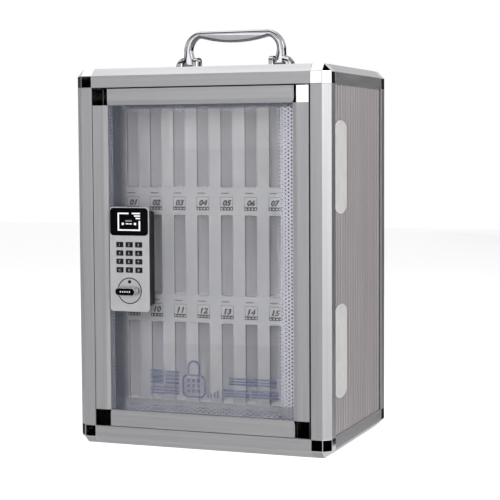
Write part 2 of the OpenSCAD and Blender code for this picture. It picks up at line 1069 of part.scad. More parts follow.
// ---- assembly -------------------------------------------------------------------------

front_post_left();
front_post_right();
rear_posts();
front_rail_bottom();
front_rail_top();
rear_rail_bottom();
rear_rail_top();
side_rails_bottom();
side_rails_top();
corner_connectors();
side_panel_left();
side_panel_right();
back_panel();
top_panel();
base_board();
side_cover_plates();
hinge_blocks();
door_stop_strips();
rack_sides();
rack_shelves();
rack_bands();
dividers_row_1();
dividers_row_2();
dividers_row_3();
handle_foot_left();
handle_foot_right();
handle_pins();
handle_screws();
handle_bail();
door_stile_left();
door_stile_right();
door_rail_bottom();
door_rail_top();
door_corners();
door_pane();
pane_gasket();
hinge_pins();
lock_base();
lock_cover();
display_window();
status_lamp();
circuit_board();
battery_housing();
battery_cover();
battery_cells();
lock_screws();
thumb_turn();
cam();
key(0);  // key_1
key(1);  // key_2
key(2);  // key_3
key(3);  // key_4
key(4);  // key_5
key(5);  // key_6
key(6);  // key_7
key(7);  // key_8
key(8);  // key_9
key(9);  // key_clear
key(10);  // key_0
key(11);  // key_enter
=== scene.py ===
import math

import bpy
from mathutils import Matrix, Vector


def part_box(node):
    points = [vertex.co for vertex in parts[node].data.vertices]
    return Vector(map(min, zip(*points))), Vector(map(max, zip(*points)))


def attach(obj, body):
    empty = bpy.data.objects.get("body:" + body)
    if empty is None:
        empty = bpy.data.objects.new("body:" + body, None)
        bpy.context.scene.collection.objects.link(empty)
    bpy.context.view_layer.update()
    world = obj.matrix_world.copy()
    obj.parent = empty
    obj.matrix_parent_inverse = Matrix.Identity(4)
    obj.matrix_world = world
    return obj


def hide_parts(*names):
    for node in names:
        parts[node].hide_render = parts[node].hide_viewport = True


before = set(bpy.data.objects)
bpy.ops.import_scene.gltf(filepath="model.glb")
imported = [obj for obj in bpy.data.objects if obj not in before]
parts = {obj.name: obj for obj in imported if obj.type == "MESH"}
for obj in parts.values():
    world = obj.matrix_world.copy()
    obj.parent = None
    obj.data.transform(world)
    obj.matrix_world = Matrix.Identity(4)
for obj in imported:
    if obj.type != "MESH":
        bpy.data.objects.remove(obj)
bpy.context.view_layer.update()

# Lockable box for mobile phones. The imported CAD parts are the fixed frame; this script
# gives them their finishes and adds the detail that only shows. All sizes are in mm and
# become metres where a mesh is made.

scene = bpy.context.scene
world = bpy.data.worlds.new("studio")
scene.world = world
scene.view_settings.view_transform = "Standard"
print("frame loaded with", len(parts), "parts")


# small tools

def mm(*values):
    return tuple(value / 1000 for value in values)


def inMm(point):
    return tuple(value * 1000 for value in point)


def colour(hexText):      # sRGB hex to the linear colour that Blender works with
    linear = []
    for start in (1, 3, 5):
        channel = int(hexText[start:start + 2], 16) / 255
        linear.append(channel / 12.92 if channel <= 0.04045 else ((channel + 0.055) / 1.055) ** 2.4)
    return (*linear, 1.0)


def deselect():
    if bpy.context.object and bpy.context.object.mode != "OBJECT":
        bpy.ops.object.mode_set(mode="OBJECT")
    bpy.ops.object.select_all(action="DESELECT")


def makeActive(piece):
    deselect()
    piece.select_set(True)
    bpy.context.view_layer.objects.active = piece


def edit(piece, mode="FACE"):
    makeActive(piece)
    bpy.ops.object.mode_set(mode="EDIT")
    bpy.ops.mesh.select_mode(type=mode)


def editAll(piece, mode="FACE"):
    edit(piece, mode)
    bpy.ops.mesh.select_all(action="SELECT")


facing = 0.9      # share of a face's normal that points the way asked for


def pickFaces(piece, test):      # test gets a face's middle in mm and its normal
    edit(piece)
    bpy.ops.mesh.select_all(action="DESELECT")
    bpy.ops.object.mode_set(mode="OBJECT")
    for face in piece.data.polygons:
        face.select = bool(test(Vector(inMm(face.center)), face.normal))
    bpy.ops.object.mode_set(mode="EDIT")


def pickEdges(piece, test):      # test gets an edge's two ends in mm
    edit(piece, "EDGE")
    bpy.ops.mesh.select_all(action="DESELECT")
    bpy.ops.object.mode_set(mode="OBJECT")
    spots = [Vector(inMm(vertex.co)) for vertex in piece.data.vertices]
    for edge in piece.data.edges:
        edge.select = bool(test(spots[edge.vertices[0]], spots[edge.vertices[1]]))
    bpy.ops.object.mode_set(mode="EDIT")


def objectMode():
    bpy.ops.object.mode_set(mode="OBJECT")


def turnFacesOut():      # for the mesh in edit mode
    bpy.ops.mesh.select_all(action="SELECT")
    bpy.ops.mesh.normals_make_consistent(inside=False)
    objectMode()


def addBox(name, low, high):      # a cube between two corners given in mm
    deselect()
    middle = [(a + b) / 2 for a, b in zip(low, high)]
    size = [b - a for a, b in zip(low, high)]
    bpy.ops.mesh.primitive_cube_add(size=1, location=mm(*middle), scale=mm(*size))
    bpy.ops.object.transform_apply(location=True, rotation=True, scale=True)
    piece = bpy.context.object
    piece.name = name
    return piece


def addDisc(name, centre, radius, depth, sides):      # a disc that faces the front
    deselect()
    bpy.ops.mesh.primitive_cylinder_add(vertices=sides, radius=radius / 1000, depth=depth / 1000,
                                        location=mm(*centre), rotation=(math.pi / 2, 0, 0))
    bpy.ops.object.transform_apply(location=True, rotation=True, scale=True)
    piece = bpy.context.object
    piece.name = name
    return piece


def copyOf(piece, name):
    twin = bpy.data.objects.new(name, piece.data.copy())
    scene.collection.objects.link(twin)
    return twin


def joined(name, pieces):
    deselect()
    for piece in pieces:
        piece.select_set(True)
    bpy.context.view_layer.objects.active = pieces[0]
    if len(pieces) > 1:
        bpy.ops.object.join()
    whole = bpy.context.object
    whole.name = name
    return whole


def applied(piece, kind, **settings):
    makeActive(piece)
    modifier = piece.modifiers.new(kind.lower(), kind)
    for key, value in settings.items():
        setattr(modifier, key, value)
    bpy.ops.object.modifier_apply(modifier=modifier.name)
    return piece


def rounded(piece, width, segments=2, angle=30):
    return applied(piece, "BEVEL", width=width / 1000, segments=segments, limit_method="ANGLE",
                   angle_limit=math.radians(angle), use_clamp_overlap=True)


def smooth(piece, angle=50):      # soft edges, and flat faces that stay flat
    makeActive(piece)
    bpy.ops.object.shade_smooth_by_angle(angle=math.radians(angle))
    return applied(piece, "WEIGHTED_NORMAL", keep_sharp=True, weight=90)


def wear(piece, *materials):      # gives a piece its materials, the first for every face
    piece.data.materials.clear()
    for material in materials:
        piece.data.materials.append(material)
    return piece


def paintFaces(piece, slot, test):
    for face in piece.data.polygons:
        if test(Vector(inMm(face.center)), face.normal):
            face.material_index = slot


def copyOfPart(name, partName):      # a CAD part's mesh with its loose triangles merged to flat faces
    piece = copyOf(parts[partName], name)
    makeActive(piece)
    if piece.data.has_custom_normals:
        bpy.ops.mesh.customdata_custom_splitnormals_clear()
    editAll(piece, "VERT")
    bpy.ops.mesh.remove_doubles(threshold=0.000002)
    bpy.ops.mesh.dissolve_limited(angle_limit=math.radians(0.5))
    objectMode()
    return piece


def addText(name, text, height, centre, slant, weight, thick):
    # flat lettering facing the front, scaled to its height, its middle at centre
    deselect()
    bpy.ops.object.text_add(rotation=(math.pi / 2, 0, 0))
    words = bpy.context.object
    words.data.body = text
    words.data.shear = slant
    words.data.offset = weight
    words.data.resolution_u = 3
    bpy.ops.object.convert(target="MESH")
    piece = bpy.context.object
    bpy.ops.object.transform_apply(location=True, rotation=True, scale=True)
    spots = [vertex.co for vertex in piece.data.vertices]
    low = Vector([min(spot[k] for spot in spots) for k in range(3)])
    high = Vector([max(spot[k] for spot in spots) for k in range(3)])
    scale = height / 1000 / (high.z - low.z)
    piece.data.transform(Matrix.Translation(mm(*centre)) @ Matrix.Scale(scale, 4)
                         @ Matrix.Translation(-(low + high) / 2))
    editAll(piece)
    bpy.ops.mesh.extrude_region_move(TRANSFORM_OT_translate={"value": mm(0, -thick, 0)})
    turnFacesOut()
    piece.name = name
    return piece


def done(piece, body, slot, *replaced):
    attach(piece, body)
    if replaced:
        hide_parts(*replaced)
    return piece


# materials

def addNode(tree, kind, settings=None, links=None):
    node = tree.nodes.new(kind)
    for key, value in (settings or {}).items():
        if isinstance(key, int) or key in node.inputs:
            node.inputs[key].default_value = value
        else:
            setattr(node, key, value)
    for key, source in (links or {}).items():
        tree.links.new(source, node.inputs[key])
    return node


def surface(name, look):
    # one shader layout: two close tones mixed in patches, a finer grain in gloss and relief
    material = bpy.data.materials.new(name)
    material.use_nodes = True
    tree = material.node_tree
    tree.nodes.clear()
    where = addNode(tree, "ShaderNodeTexCoord").outputs["Object"]
    patchScale = [1000 / (look["patch"] * stretch) for stretch in look.get("stretch", (1, 1, 1))]
    grainScale = [1000 / (look["grain"] * stretch) for stretch in look.get("stretch", (1, 1, 1))]
    patchPlace = addNode(tree, "ShaderNodeMapping", {"Scale": patchScale}, {"Vector": where})
    grainPlace = addNode(tree, "ShaderNodeMapping", {"Scale": grainScale}, {"Vector": where})
    patches = addNode(tree, "ShaderNodeTexNoise", {"Scale": 1.0, "Detail": 3.0},
                      {"Vector": patchPlace.outputs["Vector"]})
    grain = addNode(tree, "ShaderNodeTexNoise", {"Scale": 1.0, "Detail": 2.0},
                    {"Vector": grainPlace.outputs["Vector"]})
    both = addNode(tree, "ShaderNodeMath", {"operation": "MULTIPLY_ADD", 1: look.get("grainShare", 0.4)},
                   {0: grain.outputs["Fac"], 2: patches.outputs["Fac"]})
    share = addNode(tree, "ShaderNodeMapRange", {"From Min": 0.45, "From Max": 0.95},
                    {"Value": both.outputs["Value"]})
    tone = addNode(tree, "ShaderNodeMix",
                   {"data_type": "RGBA", 6: colour(look["dark"]), 7: colour(look["pale"])},
                   {0: share.outputs["Result"]})
    gloss = addNode(tree, "ShaderNodeMapRange", {"From Min": 0.3, "From Max": 0.7,
                                                 "To Min": look["rough"][0], "To Max": look["rough"][1]},
                    {"Value": grain.outputs["Fac"]})
    relief = addNode(tree, "ShaderNodeBump", {"Strength": 1.0, "Distance": look["depth"] / 1000},
                     {"Height": grain.outputs["Fac"]})
    settings = {"Metallic": look.get("metallic", 0.0)}
    settings.update(look.get("shader", {}))
    shader = addNode(tree, "ShaderNodeBsdfPrincipled", settings,
                     {"Base Color": tone.outputs[2], "Roughness": gloss.outputs["Result"],
                      "Normal": relief.outputs["Normal"]})
    addNode(tree, "ShaderNodeOutputMaterial", None, {"Surface": shader.outputs["BSDF"]})
    return material


# Aluminium, extruded and satin anodised: a calm grey metal with faint lines along each bar.
# The real die lines are about 0.2 mm apart; they are drawn wider so that they show.
anodised = {"pale": "#D2D2D4", "dark": "#C4C4C7", "metallic": 1.0, "rough": (0.40, 0.50),
            "patch": 4.0, "grain": 0.9, "depth": 0.006, "stretch": (1, 1, 60), "grainShare": 0.6}
aluminiumUp = surface("anodised_aluminium_lines_up", anodised)
aluminiumAcross = surface("anodised_aluminium_lines_across", {**anodised, "stretch": (60, 1, 1)})
aluminiumBack = surface("anodised_aluminium_lines_back", {**anodised, "stretch": (1, 60, 1)})

# Zinc casting, polished and chrome plated: a mirror that is slightly wavy, as castings are
plated = {"metallic": 1.0, "rough": (0.03, 0.08), "patch": 20.0, "grain": 7.0, "depth": 0.006}
chrome = surface("chrome_plated_zinc", {**plated, "pale": "#E9E9EB", "dark": "#DEDEE1"})
# The handle's plating: the same chrome, painted a little greyer and softer than the corners as painted shade,
# for its darker reflections
handleChromeShade = surface("chrome_plated_zinc_handle_shaded", {
    **plated, "pale": "#CBCBCF", "dark": "#C0C0C5", "rough": (0.06, 0.12)})

# Laminate pressed into reeds: warm grey, half gloss
reededLaminate = surface("reeded_laminate", {
    "pale": "#B4ADAF", "dark": "#A7A1A3", "metallic": 0.3, "rough": (0.28, 0.4),
    "patch": 9.0, "grain": 1.2, "depth": 0.004, "stretch": (1, 1, 30)})

# The inner side of those boards: white backing film
backingFilm = surface("white_backing_film", {
    "pale": "#F0F0F1", "dark": "#EAEAEC", "rough": (0.45, 0.58), "patch": 20.0, "grain": 1.5, "depth": 0.008})

# Fibreboard with a printed film: dark grey, dull
filmedBoard = surface("filmed_fibreboard", {
    "pale": "#8C8C90", "dark": "#7E7E82", "rough": (0.5, 0.65), "patch": 12.0, "grain": 0.8, "depth": 0.01})

# ABS, injection moulded with a fine spark-eroded texture: flat silver grey
mattAbs = surface("matt_moulded_abs", {
    "pale": "#D9D8D7", "dark": "#D0CFCE", "rough": (0.5, 0.62), "patch": 14.0, "grain": 0.6, "depth": 0.008})

# Natural nylon: milky
nylon = surface("natural_nylon", {
    "pale": "#E6E2D6", "dark": "#DAD6CA", "rough": (0.35, 0.45), "patch": 5.0, "grain": 0.5, "depth": 0.004})

# EPDM rubber, extruded: soft black
rubber = surface("extruded_epdm_rubber", {
    "pale": "#262628", "dark": "#1C1C1E", "rough": (0.6, 0.75), "patch": 4.0, "grain": 0.7, "depth": 0.01})

# ABS, moulded, for the rack: even tone, faint orange peel; grey in front, white inside. The grey also covers
# the slot edges as painted shade, and the white inside is painted light that brightens the slots
moulded = {"rough": (0.45, 0.58), "patch": 30.0, "grain": 1.4, "depth": 0.012}
rackGreyEdgeShade = surface("grey_moulded_abs_edge_shade", {**moulded, "pale": "#7D7D7F", "dark": "#77777A"})
rackWhitePaintedLight = surface("white_moulded_abs_painted_light", {**moulded, "pale": "#E8E7EB", "dark": "#E4E3E7"})

# Zinc plated steel: bright, slightly yellow-grey
platedSteel = surface("zinc_plated_steel", {
    "pale": "#C9C9CB", "dark": "#AFAFB4", "metallic": 1.0, "rough": (0.2, 0.36),
    "patch": 3.0, "grain": 0.8, "depth": 0.006})

# ABS, moulded, black with a fine texture
blackAbs = surface("black_moulded_abs", {
    "pale": "#0A0A0C", "dark": "#060608", "rough": (0.5, 0.62), "patch": 8.0, "grain": 0.5, "depth": 0.01,
    "shader": {"Specular IOR Level": 0.3}})

# Zinc casting with silver paint: fine bright flakes under a half-gloss coat
silverPaint = surface("silver_painted_zinc", {
    "pale": "#C0C0C2", "dark": "#B4B4B7", "metallic": 0.5, "rough": (0.36, 0.48),
    "patch": 10.0, "grain": 0.45, "depth": 0.006, "grainShare": 0.8})

# Polished black acrylic
blackGloss = surface("polished_black_acrylic", {
    "pale": "#0A0A0C", "dark": "#050506", "rough": (0.03, 0.07), "patch": 15.0, "grain": 5.0, "depth": 0.004,
    "shader": {"IOR": 1.49, "Coat Weight": 0.6, "Coat Roughness": 0.04}})

# Silicone keys: dull black, faintly dusty
keySilicone = surface("black_silicone", {
    "pale": "#0D0D0F", "dark": "#08080A", "rough": (0.58, 0.7), "patch": 3.0, "grain": 0.4, "depth": 0.008,
    "shader": {"IOR": 1.41, "Specular IOR Level": 0.4}})

# Zinc casting with satin nickel
satinNickel = surface("satin_nickel_zinc", {
    "pale": "#CFCFD2", "dark": "#BDBDC0", "metallic": 1.0, "rough": (0.2, 0.3),
    "patch": 6.0, "grain": 0.8, "depth": 0.001, "stretch": (12, 1, 1)})

# Clear red polystyrene over a lamp that is off: dark, glassy
redLens = surface("dark_red_lens", {
    "pale": "#4A0A14", "dark": "#2A040A", "rough": (0.06, 0.1), "patch": 1.2, "grain": 0.8, "depth": 0.004,
    "shader": {"Coat Weight": 1.0, "Coat Roughness": 0.04}})

# Glass-fibre board with green solder mask
solderMask = surface("green_solder_mask", {
    "pale": "#23633B", "dark": "#1A4C2D", "rough": (0.25, 0.35), "patch": 2.5, "grain": 0.6, "depth": 0.01})

# Printed film on the cells: dull gold
cellFilm = surface("gold_cell_film", {
    "pale": "#A08C4C", "dark": "#877539", "metallic": 0.4, "rough": (0.3, 0.4),
    "patch": 6.0, "grain": 0.8, "depth": 0.004})

# Screen inks: they lie on the surface as thin dull films
screenInk = {"rough": (0.45, 0.6), "patch": 2.0, "grain": 0.3, "depth": 0.004}
blackInk = surface("black_screen_ink", {
    **screenInk, "pale": "#080809", "dark": "#050506", "rough": (0.5, 0.65)})
whiteInk = surface("white_screen_ink", {**screenInk, "pale": "#F1F1F3", "dark": "#E3E3E6"})
greyInk = surface("grey_screen_ink", {**screenInk, "pale": "#77777A", "dark": "#6B6B6E", "rough": (0.5, 0.6)})
legendInk = surface("silver_screen_ink", {**screenInk, "pale": "#B4B4B7", "dark": "#A6A6AA"})
# The labels: a dull grey film with a dark printed rim
filmLook = {"rough": (0.45, 0.55), "grain": 0.5, "depth": 0.004}
labelFilm = surface("matt_label_film", {**filmLook, "pale": "#7E7E81", "dark": "#78787C", "patch": 6.0})
labelEdge = surface("label_edge_ink", {**filmLook, "pale": "#2E2E31", "dark": "#27272A", "patch": 4.0})


def openedUp(material):      # its node tree, where its surface plugs in and what is plugged in there
    tree = material.node_tree
    output = [node for node in tree.nodes if node.type == "OUTPUT_MATERIAL"][0]
    return tree, output.inputs["Surface"], output.inputs["Surface"].links[0].from_socket


def seeThrough(name, look):
    # the surface shader, partly replaced by a clear one that lets what is behind show
    material = surface(name, look)
    tree, plug, shader = openedUp(material)
    clear = addNode(tree, "ShaderNodeBsdfTransparent")
    blend = addNode(tree, "ShaderNodeMixShader", {0: look["clear"]}, {1: shader, 2: clear.outputs["BSDF"]})
    tree.links.new(blend.outputs["Shader"], plug)
    return material


# Inks printed thin on the pane: the silver one is milky, the blue one darker; what is behind still shows
thinInk = {"rough": (0.4, 0.5), "patch": 6.0, "grain": 0.4, "depth": 0.003}
thinSilverInk = seeThrough("thin_silver_ink", {
    **thinInk, "pale": "#E6E6EE", "dark": "#DADAE4", "clear": 0.72})
thinBlueInk = seeThrough("thin_blue_ink", {**thinInk, "pale": "#505A80", "dark": "#485174", "clear": 0.58})


def smokeInk(share):      # painted shade: a dark see-through tint, letting this share of the light through its two faces
    return seeThrough("painted_shade_tint_%02d" % round(100 * share), {
        **thinInk, "pale": "#2F3546", "dark": "#292E3E", "patch": 9.0, "grain": 0.5, "depth": 0.002,
        "clear": math.sqrt(share)})


# Slate blue ink in the border's holes: it darkens what shows there
dotInk = seeThrough("thin_slate_ink", {
    **thinInk, "pale": "#3E4764", "dark": "#374058", "patch": 3.0, "depth": 0.002, "clear": 0.34})


def acrylic(name, look):
    # cast acrylic, polished; rays from the lamps pass, so that what is behind it is lit
    material = surface(name, look)
    tree, plug, shader = openedUp(material)
    rays = addNode(tree, "ShaderNodeLightPath")
    clear = addNode(tree, "ShaderNodeBsdfTransparent", {"Color": colour(look["tint"])})
    blend = addNode(tree, "ShaderNodeMixShader", None,
                    {0: rays.outputs["Is Shadow Ray"], 1: shader, 2: clear.outputs["BSDF"]})
    tree.links.new(blend.outputs["Shader"], plug)
    return material


clearAcrylic = acrylic("clear_cast_acrylic", {
    "pale": "#F9F9F9", "dark": "#F6F6F7", "rough": (0.0, 0.02), "patch": 60.0, "grain": 20.0, "depth": 0.002,
    "tint": "#F4F4F5", "shader": {"IOR": 1.49, "Transmission Weight": 1.0}})
print("materials made:", len(bpy.data.materials))


finishes = {      # CAD parts that stay as they are
    "hinge_blocks": nylon, "door_stop_strips": rubber, "handle_pins": platedSteel,
    "handle_screws": platedSteel, "door_pane": clearAcrylic, "pane_gasket": rubber,
    "hinge_pins": platedSteel, "circuit_board": solderMask, "battery_cells": cellFilm,
    "base_board": filmedBoard,
}
for partName, material in finishes.items():
    wear(parts[partName], material)


# frame, corners and plain covers: the CAD shapes with their sharp edges broken

softGroups = [      # edge radius, rings, record slot, body, {CAD part: (new name, finish)}
    (0.3, 2, "frame_aluminium", "case", {
        "front_post_left": ("post_front_left", aluminiumUp),
        "front_post_right": ("post_front_right", aluminiumUp),
        "rear_posts": ("posts_rear", aluminiumUp),
        "front_rail_bottom": ("rail_front_bottom", aluminiumAcross),
        "front_rail_top": ("rail_front_top", aluminiumAcross),
        "rear_rail_bottom": ("rail_rear_bottom", aluminiumAcross),
        "rear_rail_top": ("rail_rear_top", aluminiumAcross),
        "side_rails_bottom": ("rails_side_bottom", aluminiumBack),
        "side_rails_top": ("rails_side_top", aluminiumBack)}),
    (0.5, 3, "chrome", "case", {"corner_connectors": ("corner_castings", chrome)}),
    (0.4, 2, "cover_plate", "case", {"side_cover_plates": ("cover_plates", mattAbs)}),
    (0.25, 2, "door_aluminium", "door", {
        "door_stile_left": ("stile_left", aluminiumUp),
        "door_stile_right": ("stile_right", aluminiumUp),
        "door_rail_bottom": ("rail_door_bottom", aluminiumAcross),
        "door_rail_top": ("rail_door_top", aluminiumAcross)}),
    (0.45, 3, "chrome", "door", {"door_corners": ("door_corner_castings", chrome)}),
    (0.6, 3, "black_housing", "door", {"lock_base": ("lock_base_shell", blackAbs)}),
    (0.35, 3, "silver_lock", "door", {"lock_cover": ("lock_face", silverPaint)}),
    (0.25, 3, "black_window", "door", {"display_window": ("display_glass", blackGloss)}),
    (0.25, 3, "red_lamp", "door", {"status_lamp": ("lamp_lens", redLens)}),
    (0.7, 3, "black_housing", "door", {"battery_housing": ("lock_rear_shell", blackAbs)}),
    (0.3, 2, "bright_steel", "latch", {"cam": ("lock_cam", platedSteel)}),
]
flatAngled = {aluminiumUp, aluminiumAcross, aluminiumBack, chrome}      # bevels as flat as 18 degrees
roundFrom = {True: 12, False: 30}      # sharper edges are rounded: with those finishes, with others
for radius, rings, slotName, body, members in softGroups:
    for partName, (name, material) in members.items():
        piece = copyOfPart(name, partName)
        rounded(piece, radius, rings, roundFrom[material in flatAngled])
        smooth(piece)
        wear(piece, material)
        done(piece, body, slotName, partName)
print("frame and covers made")


def boxInMm(partName):
    low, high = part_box(partName)
    return Vector(inMm(low)), Vector(inMm(high))


def arrayOf(piece, count, step):      # count copies in a row, step in mm
    return applied(piece, "ARRAY", count=count, use_relative_offset=False,
                   use_constant_offset=True, constant_offset_displace=mm(*step))


def shifted(piece, *by):
    piece.data.transform(Matrix.Translation(mm(*by)))
    return piece


# reeded boards: the CAD boards, a little thinner, with a row of round reeds on their outside

reeds = {"pitch": 9.0, "height": 1.5, "sunk": 0.05, "rings": 5, "tongue": 5.8, "endGap": 0.1,
         "roundShare": 0.998}
reededBoards = {
    # CAD part: (new name, direction out, direction across the reeds, direction along them)
    "side_panel_left": ("reeded_side_left", (-1, 0, 0), (0, -1, 0), (0, 0, 1)),
    "side_panel_right": ("reeded_side_right", (1, 0, 0), (0, 1, 0), (0, 0, 1)),
    "back_panel": ("reeded_back", (0, 1, 0), (-1, 0, 0), (0, 0, 1)),
    "top_panel": ("reeded_top", (0, 0, 1), (1, 0, 0), (0, 1, 0)),
}


def reedRow(width, length):
    count = round(width / reeds["pitch"])
    step = width / count
    tall = step / 2
    reed = addBox("reed", (-step / 2, -length / 2, 0), (step / 2, length / 2, tall))
    pickEdges(reed, lambda a, b: min(a.z, b.z) > tall / 2 and abs(a.x - b.x) < step / 2)
    bpy.ops.mesh.bevel(offset=reeds["roundShare"] * step / 2000, segments=reeds["rings"])
    objectMode()
    reed.data.transform(Matrix.Diagonal((1, 1, reeds["height"] / tall, 1)))
    arrayOf(reed, count, (step, 0, 0))
    return shifted(reed, (step - width) / 2, 0, -reeds["height"])


for partName, (name, outward, across, along) in reededBoards.items():
    outward, across, along = Vector(outward), Vector(across), Vector(along)
    low, high = boxInMm(partName)
    size, middle = high - low, (low + high) / 2
    width = abs(size.dot(across)) - 2 * reeds["tongue"]
    length = abs(size.dot(along)) - 2 * reeds["tongue"] - 2 * reeds["endGap"]
    faceAt = middle + outward * abs(size.dot(outward)) / 2
    board = copyOfPart(name, partName)
    pickFaces(board, lambda spot, normal: normal.dot(outward) > facing
              and abs((spot - faceAt).dot(outward)) < 0.1)
    bpy.ops.transform.translate(value=-outward * (reeds["height"] - reeds["sunk"]) / 1000)
    objectMode()
    row = reedRow(width, length)
    row.data.transform(Matrix.Translation(faceAt / 1000)
                       @ Matrix((across, along, outward)).transposed().to_4x4())
    board = joined(name, [board, row])
    smooth(board)
    wear(board, reededLaminate, backingFilm)
    paintFaces(board, 1, lambda spot, normal: normal.dot(outward) < -facing)
    done(board, "case", "reeded_panel", partName)
print("reeded boards made")


# carrying handle: castings whose front and back outlines are rounded off wide

castings = {
    # CAD part: (new name, half depth, edges above this height, radius, body)
    "handle_bail": ("bail_cast", 4.8, 405.5, 2.7, "bail"),
    "handle_foot_left": ("handle_foot_left_cast", 8.0, 397.0, 5.0, "case"),
    "handle_foot_right": ("handle_foot_right_cast", 8.0, 397.0, 5.0, "case"),
}
castingRound = {"rings": 6, "sharp": 40, "near": 0.05}      # an edge past the sharp angle stays sharp
for partName, (name, halfDeep, above, radius, body) in castings.items():
    piece = copyOfPart(name, partName)
    pickEdges(piece, lambda a, b: min(abs(a.y), abs(b.y)) > halfDeep - castingRound["near"]
              and max(a.z, b.z) > above)
    bpy.ops.mesh.bevel(offset=radius / 1000, segments=castingRound["rings"], clamp_overlap=False)
    objectMode()
    low, high = boxInMm(partName)      # corners of the bevel that stand out go back into the part's box
    for vertex in piece.data.vertices:
        vertex.co = mm(*(min(max(value, a), b) for value, a, b in zip(inMm(vertex.co), low, high)))
    bpy.ops.object.shade_smooth_by_angle(angle=math.radians(castingRound["sharp"]))
    # painted shade: the handle wears the chrome painted darker
    wear(piece, handleChromeShade)
    done(piece, body, "chrome", partName)
print("handle made")


# rack: sheets with soft edges, small fillets in the corners of every slot, and a label below each

rack = {"edge": 0.35, "rings": 2, "edgeShadeTo": 2.9}
for partName in ("rack_sides", "rack_shelves", "rack_bands", "dividers_row_1", "dividers_row_2",
                 "dividers_row_3"):
    front = boxInMm(partName)[0].y
    piece = copyOfPart("sheet_" + partName, partName)
    rounded(piece, rack["edge"], rack["rings"])
    smooth(piece)
    wear(piece, rackWhitePaintedLight, rackGreyEdgeShade)
    # painted shade: every face in the front 2.9 mm, the slot edges too, gets the grey; the white on the rest
    # is painted light inside the slots
    paintFaces(piece, 1, lambda spot, normal: spot.y < front + rack["edgeShadeTo"])
    done(piece, "case", "rack_plastic", partName)
print("rack sheets made")


slots = {"columns": 8, "rows": 3, "pitch": 27.0, "width": 13.0, "height": 85.0, "lowest": 43.4,
         "rowPitch": 114.5, "face": -60.0, "sheet": 3.0, "fillet": 1.6, "roundSides": 80}


def slotPlace(number):      # middle of a slot's foot: number 1 is at the upper left
    row, column = divmod(number - 1, slots["columns"])
    return ((column - (slots["columns"] - 1) / 2) * slots["pitch"],
            slots["lowest"] + (slots["rows"] - 1 - row) * slots["rowPitch"])


radius = slots["fillet"]
fillet = addBox("fillet", (0, slots["face"], 0), (radius, slots["face"] + slots["sheet"], radius))
roundCut = addDisc("round_cut", (radius, slots["face"] + slots["sheet"] / 2, radius), radius,
                   2 * slots["sheet"], slots["roundSides"])
applied(fillet, "BOOLEAN", object=roundCut, operation="DIFFERENCE", solver="EXACT")
bpy.data.objects.remove(roundCut)
corners = {      # turn about Y, place in the slot as shares of its width and height
    0: (-0.5, 0), 90: (-0.5, 1), 180: (0.5, 1), 270: (0.5, 0),
}
for row in range(slots["rows"]):
    copies = []
    for column in range(slots["columns"]):
        x, foot = slotPlace(row * slots["columns"] + column + 1)
        for turn, (shareX, shareZ) in corners.items():
            twin = copyOf(fillet, "fillet_copy")
            twin.data.transform(Matrix.Rotation(math.radians(turn), 4, "Y"))
            copies.append(shifted(twin, x + shareX * slots["width"], 0, foot + shareZ * slots["height"]))
    rowOfFillets = joined("slot_fillets_row_%d" % (row + 1), copies)
    smooth(rowOfFillets, 30)
    wear(rowOfFillets, rackGreyEdgeShade)
    done(rowOfFillets, "case", "rack_plastic")
bpy.data.objects.remove(fillet)
print("slot fillets made")

label = {"width": 14.2, "top": -10.2, "bottom": -21.1, "bandFoot": -24.5, "film": 0.08, "ink": 0.04,
         "edge": 0.45, "numberHeight": 6.3, "numberWidth": 10.1, "numberAt": (0.5, -16.5), "slant": 0.25,
         "weight": 0.045, "ticks": 4, "tick": (0.8, 0.8), "line": (-6.2, 2.5, -6.9, -5.9),
         "widest": 1.15, "bandRound": 0.2, "tickRound": 0.3, "lineRound": 0.15, "rings": 2}


def plainLabel():      # everything but the number, with its slot's foot at x 0, z 0
    half, front = label["width"] / 2, slots["face"] - label["film"]
    film = addBox("label", (-half, front, label["bottom"]), (half, slots["face"], label["top"]))
    pickFaces(film, lambda spot, normal: normal.y < -facing)
    bpy.ops.mesh.inset(thickness=label["edge"] / 1000)
    objectMode()
    wear(film, labelEdge, labelFilm)
    paintFaces(film, 1, lambda spot, normal: normal.y < -facing and abs(spot.x) < 1
               and abs(spot.z - (label["top"] + label["bottom"]) / 2) < 1)
    band = addBox("band", (-half, front - label["ink"], label["bandFoot"]),
                  (half, slots["face"], label["bottom"]))
    rounded(band, label["bandRound"], label["rings"])
    wear(band, blackInk)
    tickWide, tickTall = label["tick"]
    tickZ = (label["bottom"] + label["bandFoot"]) / 2
    step = label["width"] / label["ticks"]
    tick = addBox("tick", (-tickWide / 2, front - 2 * label["ink"], tickZ - tickTall / 2),
                  (tickWide / 2, front, tickZ + tickTall / 2))
    rounded(tick, label["tickRound"], label["rings"])
    arrayOf(tick, label["ticks"], (step, 0, 0))
    shifted(tick, -half + step / 2, 0, 0)
    wear(tick, whiteInk)
    left, right, low, high = label["line"]
    line = addBox("line", (left, slots["face"] - label["ink"], low), (right, slots["face"], high))
    rounded(line, label["lineRound"], label["rings"])
    wear(line, blackInk)
    return joined("plain_label", [film, band, tick, line])


pattern = plainLabel()
for number in range(1, slots["rows"] * slots["columns"] + 1):
    x, foot = slotPlace(number)
    aside, down = label["numberAt"]
    ground = slots["face"] - label["film"]
    digits = addText("digits", "%02d" % number, label["numberHeight"], (0, 0, 0),
                     label["slant"], label["weight"], label["ink"])
    across = [vertex.co.x for vertex in digits.data.vertices]
    widen = label["numberWidth"] / 1000 / (max(across) - min(across))
    digits.data.transform(Matrix.Diagonal((min(widen, label["widest"]), 1, 1, 1)))
    shifted(digits, aside, ground, down)
    wear(digits, blackInk)
    whole = joined("slot_label_%02d" % number, [copyOf(pattern, "label_copy"), digits])
    shifted(whole, x, 0, foot)
    done(whole, "case", "rack_plastic")
bpy.data.objects.remove(pattern)
print("labels made")


# pane: a border of silver ink with round holes that grow until the ink ends, and a slate dot in each hole

